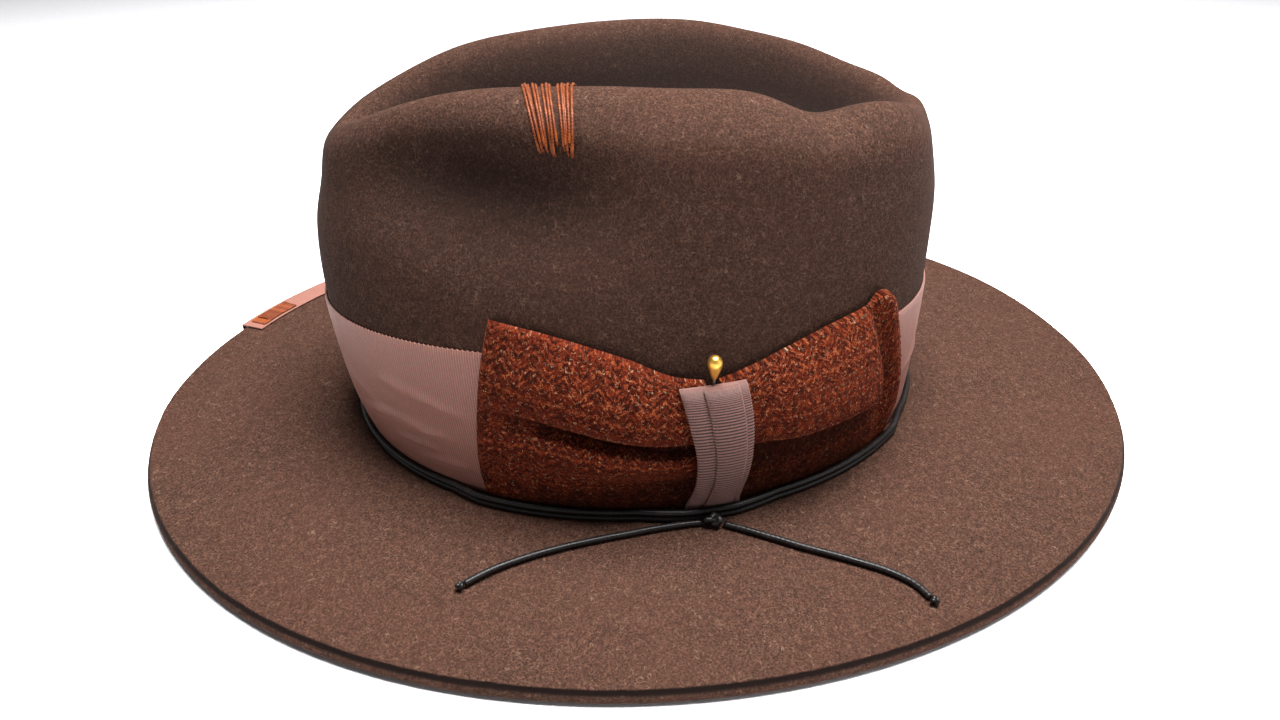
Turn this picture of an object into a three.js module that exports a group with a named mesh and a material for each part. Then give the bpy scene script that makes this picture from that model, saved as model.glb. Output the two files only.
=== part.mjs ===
// A fedora: one felt crown and brim, a grosgrain band, a tweed bow held by a ribbon knot, a waxed cord
// tied twice round the crown, a hat pin, thread stitches, a brim binding, and the sweatband and lining
// inside. Millimetres, +Z up, -Y is the front, +X is the wearer's left.
import * as THREE from "three";
import { ParametricGeometry } from "three/addons/geometries/ParametricGeometry.js";
import { mergeVertices } from "three/addons/utils/BufferGeometryUtils.js";

// ---- Driving dimensions -------------------------------------------------------------------------

const GAP = 0.3;                  // between pieces that touch
const CROWN_FELT = 3.0;
const BRIM_FELT = 4.2;
const HEAD_OVAL = { end: 106, side: 87.5 };   // the crown's foot, half its length and width
const BRIM_WIDTH_ENDS = 80;     // brim width at the front and the back
const BRIM_WIDTH_SIDES = 70.2;
const BRIM_SKEW = 4;              // how much the brim widens from the front quarters to the back ones
const FLAT_SHARE = 0.45;          // inner share of the brim that lies flat on the table
const EDGE_LIFT_ENDS = 1.5;       // how far the brim edge curls up at the front and the back
const EDGE_LIFT_SIDES = 0.9;

const BAND_HEIGHT = 50;
const RIBBON = 0.6;
const BAND_FACE = GAP + RIBBON;   // the band's outer face, out from the felt
const WAIST_TUCK = 10;            // how far the knot draws the band's top down
const TWEED_START = BAND_FACE + GAP;
const TWEED = 1.3;
const CORD_RADIUS = 1.05;
const LINING = 0.5;
const LEATHER = 1.0;

const ROUND = 56;                 // steps round the hat

// The crown's outer face passes through these rings, from the brim up to the ridge and down into the
// crease: reach to the front, back and side, egg (wider towards the back), height at the sides, and
// how much lower the ring runs at the front and the back.
const RINGS = [
  { front: 107, back: 105.5, side: 87.5, egg: 0.0, height: BRIM_FELT, frontDrop: 0, backDrop: 0 },
  { front: 112, back: 106.5, side: 88.5, egg: 0.0, height: 24, frontDrop: 0, backDrop: 0 },
  { front: 115, back: 106.5, side: 88, egg: 0.02, height: 55, frontDrop: 0, backDrop: 0 },
  { front: 114, back: 106, side: 85, egg: 0.05, height: 80, frontDrop: 0, backDrop: 0 },
  { front: 110, back: 104.5, side: 79.5, egg: 0.1, height: 104, frontDrop: 8, backDrop: 8 },
  { front: 106, back: 101.5, side: 73, egg: 0.18, height: 122, frontDrop: 14, backDrop: 15 },
  { front: 99, back: 96, side: 57, egg: 0.32, height: 131, frontDrop: 19, backDrop: 17 },
  { front: 89, back: 86, side: 43, egg: 0.4, height: 126, frontDrop: 17, backDrop: 15 },
  { front: 78, back: 72, side: 27, egg: 0.45, height: 112, frontDrop: 7, backDrop: 7 },
  { front: 64, back: 52, side: 10, egg: 0.4, height: 103, frontDrop: 2, backDrop: 2 },
  { front: 50, back: 38, side: 0, egg: 0, height: 101.5, frontDrop: 0, backDrop: 0 },
];
const WALL_TOP = 3;               // the last ring that runs level, used to place what sits on the wall
const RIDGE = 6;
const CREASE = RINGS.length - 1;

// Two hollows below the front of the ridge, where the crown is pinched, and a sag in the left ridge.
const PINCH = { depth: 15, y: -58, z: 107, reachY: 38, reachZ: 16 };
const SAG = { depth: 5, y: 44, x: 57, reachY: 14, reachX: 18 };

// ---- The crown's surface ------------------------------------------------------------------------

const lerp = THREE.MathUtils.lerp;
const clamp01 = (value) => THREE.MathUtils.clamp(value, 0, 1);
const radians = THREE.MathUtils.degToRad;

function ringPoint(ring, angle) {
  const c = Math.cos(angle);
  const s = Math.sin(angle);
  const drop = s < 0 ? ring.frontDrop * Math.abs(s) ** 3.5 : ring.backDrop * s ** 2;
  const reach = s < 0 ? ring.front : ring.back;
  return new THREE.Vector3(ring.side * c * (1 + ring.egg * s), reach * s, ring.height - drop);
}

function dent(point) {
  const side = Math.sign(point.x);
  const awayFromFront = clamp01((Math.abs(point.x) - 20) / 25);
  const pinch = ((point.y - PINCH.y) / PINCH.reachY) ** 2 + ((point.z - PINCH.z) / PINCH.reachZ) ** 2;
  const sag = ((point.y - SAG.y) / SAG.reachY) ** 2 + ((point.x - SAG.x) / SAG.reachX) ** 2;
  const onTop = clamp01((point.z - 105) / 15);
  point.z -= SAG.depth * Math.exp(-sag) * onTop;
  point.x -= side * PINCH.depth * Math.exp(-pinch) * awayFromFront;
  return point;
}

// A point on the outer face: level 0 is the brim, RIDGE is the ridge and CREASE is the crease's floor.
function crownPoint(angle, level) {
  const start = Math.min(Math.floor(level), CREASE - 1);
  const t = level - start;
  const knots = [start - 1, start, start + 1, start + 2].map((index) => {
    if (index < 0) return ringPoint(RINGS[0], angle).multiplyScalar(2).sub(ringPoint(RINGS[1], angle));
    if (index > CREASE) {
      return ringPoint(RINGS[CREASE], angle).multiplyScalar(2).sub(ringPoint(RINGS[CREASE - 1], angle));
    }
    return ringPoint(RINGS[index], angle);
  });
  const smooth = (a, b, c, d) =>
    0.5 * (2 * b + (c - a) * t + (2 * a - 5 * b + 4 * c - d) * t * t + (3 * b - a - 3 * c + d) * t ** 3);
  return dent(new THREE.Vector3(...["x", "y", "z"].map((k) => smooth(...knots.map((p) => p[k])))));
}

function crownNormal(angle, level) {
  if (level > CREASE - 0.01) return new THREE.Vector3(0, 0, 1);
  const step = 0.01;
  const round = crownPoint(angle + step, level).sub(crownPoint(angle - step, level));
  const up = crownPoint(angle, level + step).sub(crownPoint(angle, Math.max(level - step, 0)));
  return round.cross(up).normalize();
}

const onCrown = (angle, level, offset) =>
  crownPoint(angle, level).addScaledVector(crownNormal(angle, level), offset);

// The level at which the side wall reaches a height.
function levelAt(height, angle) {
  let low = 0;
  let high = WALL_TOP + 1;
  for (let i = 0; i < 24; i += 1) {
    const middle = (low + high) / 2;
    if (crownPoint(angle, middle).z < height) low = middle;
    else high = middle;
  }
  return low;
}

// A point at a height, straight out from the side wall.
function besideWall(angle, height, offset) {
  const level = levelAt(height, angle);
  const outward = crownNormal(angle, level).setZ(0).normalize();
  return crownPoint(angle, level).setZ(height).addScaledVector(outward, offset);
}

// ---- The brim's surface -------------------------------------------------------------------------

// The brim is cut at an even distance out from an oval round the crown's foot.
function brimEdge(angle) {
  const outward = new THREE.Vector3(Math.cos(angle) / HEAD_OVAL.side, Math.sin(angle) / HEAD_OVAL.end, 0);
  const skew = BRIM_SKEW * Math.sin(angle) * Math.abs(Math.cos(angle));
  const width = lerp(BRIM_WIDTH_ENDS, BRIM_WIDTH_SIDES, Math.cos(angle) ** 2) + skew;
  return new THREE.Vector3(HEAD_OVAL.side * Math.cos(angle), HEAD_OVAL.end * Math.sin(angle), 0)
    .addScaledVector(outward.normalize(), width);
}

// Share 0 is the crown's foot and share 1 is the brim's edge.
function brimPoint(angle, share, above = BRIM_FELT) {
  const curl = clamp01((share - FLAT_SHARE) / (1 - FLAT_SHARE)) ** 2;
  const lift = curl * lerp(EDGE_LIFT_ENDS, EDGE_LIFT_SIDES, Math.cos(angle) ** 2);
  return ringPoint(RINGS[0], angle).lerp(brimEdge(angle), share).setZ(above + lift);
}

// ---- Solids -------------------------------------------------------------------------------------

function closed(geometry) {
  geometry.deleteAttribute("normal");
  geometry.deleteAttribute("uv");
  const merged = mergeVertices(geometry, 1e-4);
  const index = merged.index.array;
  const corner = [0, 1, 2].map(() => new THREE.Vector3());
  let volume = 0;
  for (let i = 0; i < index.length; i += 3) {
    corner.forEach((point, k) => point.fromBufferAttribute(merged.attributes.position, index[i + k]));
    volume += corner[0].dot(corner[1].cross(corner[2]));
  }
  if (volume < 0) index.forEach((_, i) => { if (i % 3 === 2) [index[i], index[i - 1]] = [index[i - 1], index[i]]; });
  return merged;
}

// Joins rows of points, each a function of the angle round the hat, into one closed skin.
function roundHat(rows) {
  const last = rows.length - 1;
  return closed(new ParametricGeometry((u, v, target) => {
    target.copy(rows[Math.round(v * last)]((u % 1) * 2 * Math.PI));
  }, ROUND, last));
}

// A hoop whose section is a loop of rows.
const hoop = (section) => roundHat([...section, section[0]]);

// A hoop of round section.
function roundHoop(centre, radius, sides) {
  const section = Array.from({ length: sides }, (_, i) => (angle) => {
    const turn = (i / sides) * 2 * Math.PI;
    const { offset, height } = centre(angle);
    const lift = radius * Math.sin(turn);
    return besideWall(angle, height, offset + radius * Math.cos(turn)).setZ(height + lift);
  });
  return hoop(section);
}

// A slab bent to place: map takes shares across, along and through the slab, each from 0 to 1.
function bentSlab(across, along, map, through = 1) {
  const slab = new THREE.BoxGeometry(1, 1, 1, across, along, through);
  const position = slab.attributes.position;
  for (let i = 0; i < position.count; i += 1) {
    const place = map(position.getX(i) + 0.5, position.getY(i) + 0.5, position.getZ(i) + 0.5);
    position.setXYZ(i, place.x, place.y, place.z);
  }
  return closed(slab);
}

function tube(points, radius, steps) {
  const path = new THREE.CatmullRomCurve3(points.map((p) => new THREE.Vector3(...p)));
  const section = new THREE.Shape().absarc(0, 0, radius, 0, 2 * Math.PI);
  const options = { steps, extrudePath: path, curveSegments: 4 };
  return closed(new THREE.ExtrudeGeometry(section, options));
}

// ---- Felt, band and inside ----------------------------------------------------------------------

const levels = (from, to, count) =>
  Array.from({ length: count }, (_, i) => lerp(from, to, i / (count - 1)));
const crownRows = (list, offset) => list.map((level) => (angle) => onCrown(angle, level, offset));
const brimRows = (shares, above) => shares.map((share) => (angle) => brimPoint(angle, share, above));

// Every piece inside the crown uses these levels, so that the faces lie parallel.
const INSIDE_WALL = [0.6, 1.6, 3, 3.8, 4.65];
const INSIDE_TOP = levels(5.1, CREASE, 12);

function feltBody() {
  const shares = [FLAT_SHARE, 0.7, 0.86, 1];
  const insideFoot = (angle) => onCrown(angle, 0, -CROWN_FELT).setZ(0);
  return roundHat([
    ...crownRows([...levels(CREASE, 4, 13), 3.5, 3, 2, 1, 0], 0),
    ...brimRows(shares, BRIM_FELT),
    ...brimRows(shares.toReversed(), 0),
    insideFoot,
    ...crownRows([...INSIDE_WALL, ...INSIDE_TOP], -CROWN_FELT),
  ]);
}

// The band sits a little higher at the sides, more so towards the front.
const bandLift = (angle) => {
  const c = Math.cos(angle);
  return 7 * c * c - 3.5 * Math.sin(angle) * Math.abs(c);
};

const degreesOf = (angle) => THREE.MathUtils.radToDeg(Math.atan2(Math.sin(angle), Math.cos(angle)));
const waistTuck = (angle) => WAIST_TUCK * Math.exp(-(((degreesOf(angle) - 3) / 13) ** 2));

function hatband() {
  const bottom = (angle) => BRIM_FELT + 0.6 + 0.35 * bandLift(angle);
  const top = (angle) => BRIM_FELT + 0.6 + BAND_HEIGHT + bandLift(angle) - waistTuck(angle);
  const row = (share, offset) => (angle) =>
    onCrown(angle, levelAt(lerp(bottom(angle), top(angle), share), angle), offset);
  return hoop([
    row(0, GAP), row(0, BAND_FACE), row(0.35, BAND_FACE), row(0.7, BAND_FACE), row(1, BAND_FACE),
    row(1, GAP), row(0.7, GAP), row(0.35, GAP),
  ]);
}

// The lining lies against the felt, and its lower edge is tucked behind the sweatband.
const LINING_FACE = -(CROWN_FELT + 2 * GAP);

function liningSide() {
  return hoop([
    ...crownRows(INSIDE_WALL, LINING_FACE),
    ...crownRows(INSIDE_WALL.toReversed(), LINING_FACE - LINING),
  ]);
}

function liningTip() {
  const seam = INSIDE_WALL.at(-1) + 0.08;
  const list = [seam, ...INSIDE_TOP];
  return roundHat([
    ...crownRows(list.toReversed(), LINING_FACE),
    ...crownRows(list, LINING_FACE - LINING),
  ]);
}

const SWEATBAND_FACE = LINING_FACE - LINING - GAP;
const SWEATBAND_LEVELS = [0, 0.6, 1.6];

function sweatband() {
  return hoop([
    ...crownRows(SWEATBAND_LEVELS, SWEATBAND_FACE),
    ...crownRows(SWEATBAND_LEVELS.toReversed(), SWEATBAND_FACE - LEATHER),
  ]);
}

const sweatbandReed = () =>
  roundHoop(() => ({ offset: SWEATBAND_FACE - LEATHER / 2, height: BRIM_FELT - GAP - 1.1 }), 1, 6);

// A small flat bow covers the join at the back of the sweatband.
function sweatbandBow() {
  const inner = SWEATBAND_FACE - LEATHER - 2 * GAP;
  return bentSlab(6, 4, (u, v, w) => {
    const waist = 0.45 + 0.55 * Math.abs(2 * u - 1);
    return besideWall(radians(lerp(84, 96, u)), 27 + (v - 0.5) * 11 * waist, inner - 1.2 * w);
  });
}

// ---- Bow, knot and pin --------------------------------------------------------------------------

const BOW_FOOT = BRIM_FELT + 1.2;
const KNOT = { from: -3, to: 9, top: 55, fullness: 4.3, thick: 1.3 };
const PIN = { y: 5.8, shank: 0.4, headRadius: 2.2, headBase: 56.6, length: 40, out: 4.2 };

// The bow and the knot lie flat at the foot, under the cord, then swell and close again at the top.
const belly = (share) => Math.sin(Math.PI * clamp01((share - 0.08) / 0.97)) ** 0.9;

// One wing of the bow. Its outer end leans from footAngle to topAngle; it is full in the middle,
// thin at the foot where the cord cinches it, and gathered at the waist.
function bowWing({ footAngle, topAngle, waistAngle, outerTop, waistTop }) {
  return bentSlab(12, 10, (u, v, w) => {
    const outerAngle = lerp(footAngle, topAngle, v);
    const angle = radians(lerp(outerAngle, waistAngle, u));
    const height = lerp(BOW_FOOT, lerp(outerTop, waistTop, u), v);
    const fullness = lerp(2.5, KNOT.fullness, u) * belly(v);
    return besideWall(angle, height, TWEED_START + w * (TWEED + fullness));
  });
}

const bowFrontWing = () =>
  bowWing({ footAngle: -35.8, topAngle: -29.8, waistAngle: 2, outerTop: 72.8, waistTop: 54 });
const bowRearWing = () =>
  bowWing({ footAngle: 47.5, topAngle: 38.2, waistAngle: 4.4, outerTop: 70, waistTop: 54 });

// The ribbon wraps over the bow's waist and narrows towards its foot.
function knotRibbon() {
  return bentSlab(5, 10, (u, v, w) => {
    const angle = lerp(lerp(KNOT.from + 3, KNOT.from, v), KNOT.to, u);
    const swell = v < 0.5 ? belly(v) : Math.max(belly(v), 0.8);
    const inner = TWEED_START + TWEED + 0.4 + (KNOT.fullness + 0.2) * swell;
    return besideWall(radians(angle), lerp(BOW_FOOT + 0.3, KNOT.top, v), inner + w * KNOT.thick);
  });
}

const PIN_X = RINGS[1].side + PIN.out;

function pinHead() {
  const profile = [
    [0, 0], [0.6, 0.15], [1.2, 1.8], [1.85, 3.6], [PIN.headRadius, 5.3], [2.0, 6.6], [1.2, 7.6], [0, 8],
  ];
  return closed(new THREE.LatheGeometry(profile.map((p) => new THREE.Vector2(...p)), 16).rotateX(Math.PI / 2));
}

const pinShank = () =>
  closed(new THREE.CylinderGeometry(PIN.shank, PIN.shank * 0.6, PIN.length, 10).rotateX(Math.PI / 2));

// ---- Cord, stitches and binding -----------------------------------------------------------------

// How far the cord's centre stands off the wall: close on the band, further over the bow and the knot.
function cordOffset(angle) {
  const degrees = degreesOf(angle);
  const overBow = clamp01((degrees + 43) / 6) * clamp01((55 - degrees) / 6);
  const overKnot = clamp01((degrees + 9) / 8) * clamp01((16 - degrees) / 8);
  return BAND_FACE + GAP + CORD_RADIUS + 1.8 * overBow + 2.1 * overKnot;
}

const CORD_REST = BRIM_FELT + GAP + CORD_RADIUS;
const cordTurn = (layer) => {
  const height = CORD_REST + layer * (2 * CORD_RADIUS + GAP);
  return roundHoop((angle) => ({ offset: cordOffset(angle), height }), CORD_RADIUS, 8);
};

// The cord's two tails lie on the brim; the knot sits under the ribbon.
const KNOT_PLACE = [97.4, 6.4, 6.9];
const FRONT_TAIL = [
  [96.5, 3.2, 5.6], [96.3, -1.5, 5.6], [96.4, -6, 5.6], [96.6, -11, 5.6], [97, -16.5, 5.6],
  [97.6, -22, 5.6], [98.1, -28, 5.6], [98.8, -34, 5.6], [99.6, -40, 5.6], [100.6, -45.5, 5.6],
  [101.8, -51, 5.6], [103.2, -56, 5.6], [105.1, -61.5, 5.7], [107.5, -66.5, 5.8], [110.4, -71.5, 5.9],
];
const REAR_TAIL = [
  [98.2, 9.3, 5.6], [99.5, 11.5, 5.6], [101.6, 14.9, 5.6], [104, 18.5, 5.6], [107.7, 24, 5.6],
  [111.5, 29.5, 5.6], [115, 35, 5.6], [118.5, 40.5, 5.7], [121.8, 45.4, 5.7], [125, 50, 5.8],
  [128.2, 53.7, 5.8], [131.5, 56.6, 5.9], [134.1, 58.1, 6.0], [136.6, 59, 6.1], [139.2, 59.6, 6.2],
];
const FRONT_END = [111.3, -73.2, 6.2];
const REAR_END = [141.3, 60.4, 6.8];

const cordKnot = () => closed(new THREE.SphereGeometry(1, 12, 8).scale(2.0, 2.9, 2.3));
const endKnot = () => closed(new THREE.SphereGeometry(1.5, 10, 6));

// Threads laid over the ridge: they start inside the crease and draw together down the outside.
function ridgeStitch(topAngle, footAngle, spread) {
  return bentSlab(1, 12, (u, v, w) => {
    const width = spread * lerp(0.35, 1, v) * (u - 0.5);
    return onCrown(radians(lerp(footAngle, topAngle, v) + width), lerp(4.7, RIDGE + 0.9, v), GAP + 0.7 * w);
  });
}

// The binding folds over the brim's edge on the right, towards the front.
const BINDING = { from: -111, to: -150, cover: 0.12, thick: 0.4 };

// Share 0 is the ribbon's edge under the brim, share 1 its edge on top, and it turns down between.
function overEdge(angle, share, offset) {
  const turn = 5 / 12;            // the share at which the ribbon reaches the brim's edge
  const edge = brimPoint(angle, 1);
  const outward = edge.clone().sub(brimPoint(angle, 1 - BINDING.cover)).setZ(0).normalize();
  const inset = BINDING.cover * clamp01(Math.max(turn - share, share + turn - 1) / turn);
  const up = clamp01((share - turn) / (1 - 2 * turn));
  const height = lerp(-offset, BRIM_FELT + offset, up);
  return brimPoint(angle, 1 - inset, height).addScaledVector(outward, inset > 0 ? 0 : offset);
}

const brimBinding = () => bentSlab(10, 12, (u, v, w) =>
  overEdge(radians(lerp(BINDING.from, BINDING.to, u)), v, GAP + 0.3 + w * BINDING.thick));

const bindingStitch = () => bentSlab(6, 3, (u, v, w) =>
  overEdge(radians(lerp(BINDING.from - 1, BINDING.from - 8, u)), lerp(0.68, 0.94, v), 2 * GAP + 0.3 + BINDING.thick + 0.5 * w));

// ---- The hat ------------------------------------------------------------------------------------

const material = (color, roughness, metalness = 0) =>
  new THREE.MeshStandardMaterial({ color, roughness, metalness });
const felt = material("#6e5145", 0.95);
const grosgrain = material("#86615a", 0.7);
const tweed = material("#7d3a28", 0.95);
const waxedCord = material("#241c1d", 0.45);
const brass = material("#d8a83a", 0.2, 1);
const steel = material("#b9bcc0", 0.3, 1);
const thread = material("#b4531f", 0.6);
const leather = material("#5a3b28", 0.55);
const satin = material("#4a3a36", 0.4);
const reedPlastic = material("#d9d2c4", 0.5);

const hat = new THREE.Group();

function add(name, geometry, look, place = [0, 0, 0]) {
  const mesh = new THREE.Mesh(geometry, look);
  mesh.name = name;
  mesh.position.set(...place);
  hat.add(mesh);
}

add("felt_body", feltBody(), felt);
add("hatband_ribbon", hatband(), grosgrain);
add("bow_front_wing", bowFrontWing(), tweed);
add("bow_rear_wing", bowRearWing(), tweed);
add("bow_knot_ribbon", knotRibbon(), grosgrain);
add("pin_head", pinHead(), brass, [PIN_X, PIN.y, PIN.headBase]);
add("pin_shank", pinShank(), steel, [PIN_X, PIN.y, PIN.headBase - GAP - PIN.length / 2]);
add("cord_lower_turn", cordTurn(0), waxedCord);
add("cord_upper_turn", cordTurn(1), waxedCord);
add("cord_knot", cordKnot(), waxedCord, KNOT_PLACE);
add("cord_tail_front", tube(FRONT_TAIL, CORD_RADIUS - 0.05, 18), waxedCord);
add("cord_tail_rear", tube(REAR_TAIL, CORD_RADIUS - 0.05, 18), waxedCord);
add("cord_front_end_knot", endKnot(), waxedCord, FRONT_END);
add("cord_rear_end_knot", endKnot(), waxedCord, REAR_END);
add("ridge_stitch_front", ridgeStitch(-26, -20.3, 3.4), thread);
add("ridge_stitch_middle", ridgeStitch(-22.1, -18.6, 1.8), thread);
add("ridge_stitch_rear", ridgeStitch(-18.1, -16.6, 3.2), thread);
add("brim_binding", brimBinding(), grosgrain);
add("binding_stitch", bindingStitch(), thread);
add("sweatband", sweatband(), leather);
add("sweatband_reed", sweatbandReed(), reedPlastic);
add("sweatband_bow", sweatbandBow(), grosgrain);
add("lining_side", liningSide(), satin);
add("lining_tip", liningTip(), satin);

export default hat;
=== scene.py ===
"""A felt fedora with a tweed bow: the looks, built round the CAD frame.

Lengths are in millimetres until a mesh is made. +Z is up, -Y is the front and +X is the wearer's left.
Angles run round the crown from +X, so the bow sits near angle 0 and the front is at -90 degrees.
"""
import math

import bpy
import numpy as np
from mathutils import Matrix


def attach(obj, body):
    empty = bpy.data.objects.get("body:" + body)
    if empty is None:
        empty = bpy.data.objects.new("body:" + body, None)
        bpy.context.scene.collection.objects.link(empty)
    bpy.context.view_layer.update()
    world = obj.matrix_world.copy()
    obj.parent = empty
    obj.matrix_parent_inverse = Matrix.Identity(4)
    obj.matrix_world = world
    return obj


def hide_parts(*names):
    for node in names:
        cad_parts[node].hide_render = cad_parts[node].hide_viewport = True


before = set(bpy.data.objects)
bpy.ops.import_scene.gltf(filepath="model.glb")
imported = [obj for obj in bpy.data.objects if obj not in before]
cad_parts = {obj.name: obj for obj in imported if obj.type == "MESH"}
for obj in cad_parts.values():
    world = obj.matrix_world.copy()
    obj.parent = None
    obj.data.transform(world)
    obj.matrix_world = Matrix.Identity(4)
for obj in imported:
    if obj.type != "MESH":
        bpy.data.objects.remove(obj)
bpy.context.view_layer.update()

MM = 0.001

# ---- Driving dimensions, as in the CAD model ----------------------------------------------------

GAP = 0.3
CROWN_FELT = 3.0
BRIM_FELT = 4.2
HEAD_END, HEAD_SIDE = 106, 87.5
BRIM_WIDTH_ENDS, BRIM_WIDTH_SIDES = 80, 70.2
BRIM_SKEW = 4                     # how much the brim widens from the front quarters to the back ones
FLAT_SHARE = 0.45
EDGE_LIFT_ENDS, EDGE_LIFT_SIDES = 1.5, 0.9
BAND_HEIGHT = 50
RIBBON = 0.6
BAND_FACE = GAP + RIBBON
WAIST_TUCK = 10                   # how far the knot draws the band's top down
TWEED_START = BAND_FACE + GAP
CORD_RADIUS = 1.05
TAIL_RADIUS = 1.0
LINING = 0.5
LEATHER = 1.0

# Crown rings from the brim to the crease: front, back, side, egg, height, front drop, back drop.
RINGS = [
    [107, 105.5, 87.5, 0, BRIM_FELT, 0, 0],
    [112, 106.5, 88.5, 0, 24, 0, 0],
    [115, 106.5, 88, 0.02, 55, 0, 0],
    [114, 106, 85, 0.05, 80, 0, 0],
    [110, 104.5, 79.5, 0.1, 104, 8, 8],
    [106, 101.5, 73, 0.18, 122, 14, 15],
    [99, 96, 57, 0.32, 131, 19, 17],
    [89, 86, 43, 0.4, 126, 17, 15],
    [78, 72, 27, 0.45, 112, 7, 7],
    [64, 52, 10, 0.4, 103, 2, 2],
    [50, 38, 0, 0, 101.5, 0, 0],
]
RIDGE = 6
CREASE = 10
PINCH_DEPTH, PINCH_Y, PINCH_Z, PINCH_REACH_Y, PINCH_REACH_Z = 15, -58, 107, 38, 16
SAG_DEPTH, SAG_Y, SAG_X, SAG_REACH_Y, SAG_REACH_X = 5, 44, 57, 14, 18

# ---- Camera and light ---------------------------------------------------------------------------

CAMERA_PLACE = (298.3, -50.0, 192.4)
CAMERA_AZIMUTH, CAMERA_ELEVATION, CAMERA_ROLL = 80.42, 30.58, -0.30
LENS, SENSOR = 24.3, 36
SHIFT_X, SHIFT_Y = -0.0021, -0.0087

# Softboxes: name, place and aim in metres, width in metres, and watts.
SOFTBOXES = [
    ("overhead_softbox", (0.02, 0.14, 1.06), (0, 0, 0.05), 0.62, 56),
    ("rear_fill", (0.6, 1.0, 0.5), (0.0, 0, 0.08), 0.6, 2.4),
]
BACKDROP = (0.97, 0.98, 1.0, 1)
# The backdrop dims upwards. The upward share of a direction where the fade starts and ends, and the
# backdrop's strength at both.
HORIZON_GLOW = (0.2, 0.55, 0.8, 0.02)


def add_camera():
    azimuth, elevation, roll = (math.radians(x) for x in (CAMERA_AZIMUTH, CAMERA_ELEVATION, CAMERA_ROLL))
    back = np.array([
        math.sin(azimuth) * math.cos(elevation),
        -math.cos(azimuth) * math.cos(elevation),
        math.sin(elevation),
    ])
    right = np.array([math.cos(azimuth), math.sin(azimuth), 0])
    up = np.cross(back, right)
    level_right = right * math.cos(roll) + up * math.sin(roll)
    level_up = up * math.cos(roll) - right * math.sin(roll)
    camera = bpy.data.objects.new("camera", bpy.data.cameras.new("camera"))
    camera.matrix_world = Matrix.Translation(np.array(CAMERA_PLACE) * MM) @ Matrix(
        np.stack([level_right, level_up, back], 1)).to_4x4()
    camera.data.lens = LENS
    camera.data.sensor_width = SENSOR
    camera.data.shift_x = SHIFT_X
    camera.data.shift_y = SHIFT_Y
    camera.data.clip_start = 0.01
    bpy.context.scene.collection.objects.link(camera)
    bpy.context.scene.camera = camera


def add_softbox(name, place, aim, size, power):
    """A square area light; place and aim are in metres."""
    data = bpy.data.lights.new(name, "AREA")
    data.shape = "SQUARE"
    data.size = size
    data.energy = power
    light = bpy.data.objects.new(name, data)
    light.location = place
    direction = Matrix.Translation(aim).translation - light.location
    light.rotation_euler = direction.to_track_quat("-Z", "Y").to_euler()
    bpy.context.scene.collection.objects.link(light)


def light_scene():
    for softbox in SOFTBOXES:
        add_softbox(*softbox)
    world = bpy.data.worlds.new("studio")
    world.use_nodes = True
    nodes, links = world.node_tree.nodes, world.node_tree.links
    nodes["Background"].inputs["Color"].default_value = BACKDROP
    upward = nodes.new("ShaderNodeSeparateXYZ")
    links.new(nodes.new("ShaderNodeTexCoord").outputs["Generated"], upward.inputs[0])
    glow = nodes.new("ShaderNodeMapRange")
    for socket, value in zip(("From Min", "From Max", "To Min", "To Max"), HORIZON_GLOW):
        glow.inputs[socket].default_value = value
    links.new(upward.outputs["Z"], glow.inputs["Value"])
    links.new(glow.outputs["Result"], nodes["Background"].inputs["Strength"])
    bpy.context.scene.world = world
    bpy.context.scene.view_settings.view_transform = "Standard"


# ---- Curves and surfaces ------------------------------------------------------------------------

def lerp(a, b, share):
    return a + (b - a) * share


def full_turn(count):
    """Even angles round a circle, without the last, which is the first again."""
    return np.linspace(0, 2 * np.pi, count, endpoint=False)


def smoothstep(low, high, value):
    share = np.clip((value - low) / (high - low), 0, 1)
    return share * share * (3 - 2 * share)


def along(table, where):
    """Rows on a smooth curve through a table's rows; where counts in rows from the first."""
    table = np.asarray(table, float)
    ends = np.stack([2 * table[0] - table[1], 2 * table[-1] - table[-2]])
    padded = np.concatenate([ends[:1], table, ends[1:]])
    where = np.asarray(where, float)
    start = np.clip(np.floor(where).astype(int), 0, len(table) - 2)
    t = (where - start).reshape(where.shape + (1,) * (table.ndim - 1))
    a, b, c, d = (padded[start + k] for k in range(4))
    return 0.5 * (2 * b + (c - a) * t + (2 * a - 5 * b + 4 * c - d) * t**2 + (3 * b - a - 3 * c + d) * t**3)


def unit(vectors):
    return vectors / np.maximum(np.linalg.norm(vectors, axis=-1, keepdims=True), 1e-12)


def linear_rings():
    """The rings with egg times side in the egg's place, so that rings may be blended."""
    rings = np.array(RINGS, float)
    rings[:, 3] *= rings[:, 2]
    return rings


RING_TABLE = linear_rings()


def pinched(y, z):
    """How much of the pinch below the ridge's front reaches a point of the wall, 0 to 1."""
    return np.exp(-(((y - PINCH_Y) / PINCH_REACH_Y) ** 2) - ((z - PINCH_Z) / PINCH_REACH_Z) ** 2)


def crown_point(angle, level):
    """The crown's outer face: level 0 is the brim, RIDGE the ridge and CREASE the crease's floor."""
    angle, level = np.broadcast_arrays(np.asarray(angle, float), np.asarray(level, float))
    front, back, side, egg, height, front_drop, back_drop = np.moveaxis(along(RING_TABLE, level), -1, 0)
    c, s = np.cos(angle), np.sin(angle)
    x = c * (side + egg * s)
    y = np.where(s < 0, front, back) * s
    z = height - np.where(s < 0, front_drop * np.abs(s) ** 3.5, back_drop * s**2)
    away_from_front = np.clip((np.abs(x) - 20) / 25, 0, 1)
    sag = ((y - SAG_Y) / SAG_REACH_Y) ** 2 + ((x - SAG_X) / SAG_REACH_X) ** 2
    on_top = np.clip((z - 105) / 15, 0, 1)
    z = z - SAG_DEPTH * np.exp(-sag) * on_top
    x = x - np.sign(x) * PINCH_DEPTH * pinched(y, z) * away_from_front
    return np.stack([x, y, z], -1)


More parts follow.
